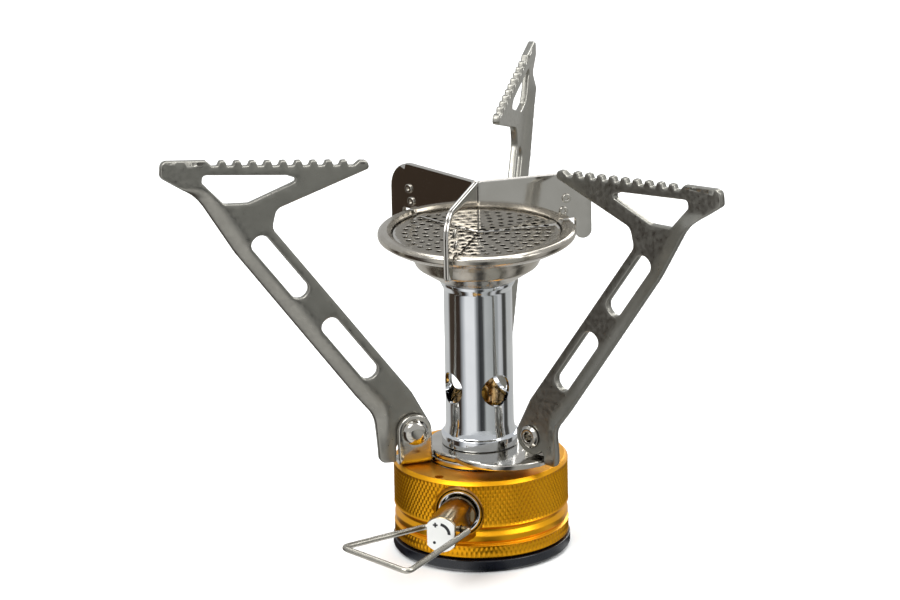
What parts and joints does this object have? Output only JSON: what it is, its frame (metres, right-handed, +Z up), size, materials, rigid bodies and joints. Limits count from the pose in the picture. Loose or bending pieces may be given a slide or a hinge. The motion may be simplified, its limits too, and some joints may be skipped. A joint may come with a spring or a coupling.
{
  "type": "camping stove",
  "caption": "Compact gas stove that screws onto a cartridge: round burner with windshield on a mixing tube, folding pot supports and a wire valve handle.",
  "frame": {"origin": "on the burner's vertical axis, in the plane that the base ring stands on, where the gas cartridge's axis enters", "axes": "+Z up along the burner's axis; -Y towards the front, where the valve stem points; +X to the right"},
  "size_m": [0.1186, 0.1169, 0.0945],
  "materials": {
    "gold_anodised": "bright gold anodised, machined and knurled",
    "black_ring": "satin moulded nylon",
    "brass": "turned brass",
    "chrome_plate": "bright chrome plate on turned brass",
    "satin_steel": "tumbled stainless sheet, satin",
    "polished_steel": "polished stainless steel",
    "white_label": "printed film",
    "seal_rubber": "nitrile rubber"
  },
  "bodies": {
    "base": {"base_ring": "black_ring", "base_collar": "gold_anodised", "valve_body": "brass", "cartridge_o_ring": "seal_rubber", "valve_pin": "brass", "gland_nut": "chrome_plate", "jet_filter": "brass", "jet": "brass", "burner_tube": "chrome_plate", "burner_cup": "polished_steel", "burner_gauze": "satin_steel", "burner_plate": "polished_steel", "windshield_front_left": "polished_steel", "windshield_front_right": "polished_steel", "windshield_rear": "polished_steel", "wing_rivet_right_upper": "polished_steel", "wing_rivet_right_lower": "polished_steel", "wing_rivet_left_upper": "polished_steel", "wing_rivet_left_lower": "polished_steel", "wing_rivet_front_upper": "polished_steel", "wing_rivet_front_lower": "polished_steel", "bracket_rear": "polished_steel", "pivot_rivet_rear": "polished_steel", "pivot_washer_rear": "polished_steel"},
    "needle": {"valve_needle": "satin_steel"},
    "stem": {"valve_stem": "polished_steel", "stem_label": "white_label", "stem_o_ring": "seal_rubber"},
    "bail": {"wire_bail": "satin_steel"},
    "left_bracket": {"bracket_left": "polished_steel", "pivot_rivet_left": "polished_steel", "pivot_washer_left": "polished_steel"},
    "right_bracket": {"bracket_right": "polished_steel", "pivot_rivet_right": "polished_steel", "pivot_washer_right": "polished_steel"},
    "left_arm": {"arm_left": "satin_steel"},
    "right_arm": {"arm_right": "satin_steel"},
    "rear_arm": {"arm_rear": "satin_steel"}
  },
  "joints": [
    {"name": "left_swivel", "type": "hinge", "parent": "base", "child": "left_bracket", "pos_m": [0, 0, 0.0214], "axis": [0, 0, -1], "range_deg": [0, 94]},
    {"name": "right_swivel", "type": "hinge", "parent": "base", "child": "right_bracket", "pos_m": [0, 0, 0.0229], "axis": [0, 0, 1], "range_deg": [0, 98]},
    {"name": "left_fold", "type": "hinge", "parent": "left_bracket", "child": "left_arm", "pos_m": [-0.01482, -0.00453, 0.0283], "axis": [-0.2924, 0.9563, 0], "range_deg": [0, 17]},
    {"name": "right_fold", "type": "hinge", "parent": "right_bracket", "child": "right_arm", "pos_m": [0.01134, -0.01057, 0.0283], "axis": [-0.682, -0.7314, 0], "range_deg": [0, 17]},
    {"name": "rear_fold", "type": "hinge", "parent": "base", "child": "rear_arm", "pos_m": [0.00296, 0.01521, 0.0283], "axis": [0.9816, -0.1908, 0], "range_deg": [0, 17]},
    {"name": "needle_travel", "type": "slide", "parent": "base", "child": "needle", "axis": [-0.2756, -0.9613, 0], "range_m": [0, 0.00105]},
    {"name": "stem_turn", "type": "hinge", "parent": "needle", "child": "stem", "pos_m": [0, 0, 0.0132], "axis": [-0.2756, -0.9613, 0], "range_deg": [0, 540]},
    {"name": "bail_swing", "type": "hinge", "parent": "stem", "child": "bail", "pos_m": [-0.00725, -0.02528, 0.0128], "axis": [-0.838, 0.5323, -0.1203], "range_deg": [-25, 90]}
  ],
  "couplings": [
    {"joint": "needle_travel", "follows": "stem_turn", "m_per_rad": 0.0001114}
  ]
}
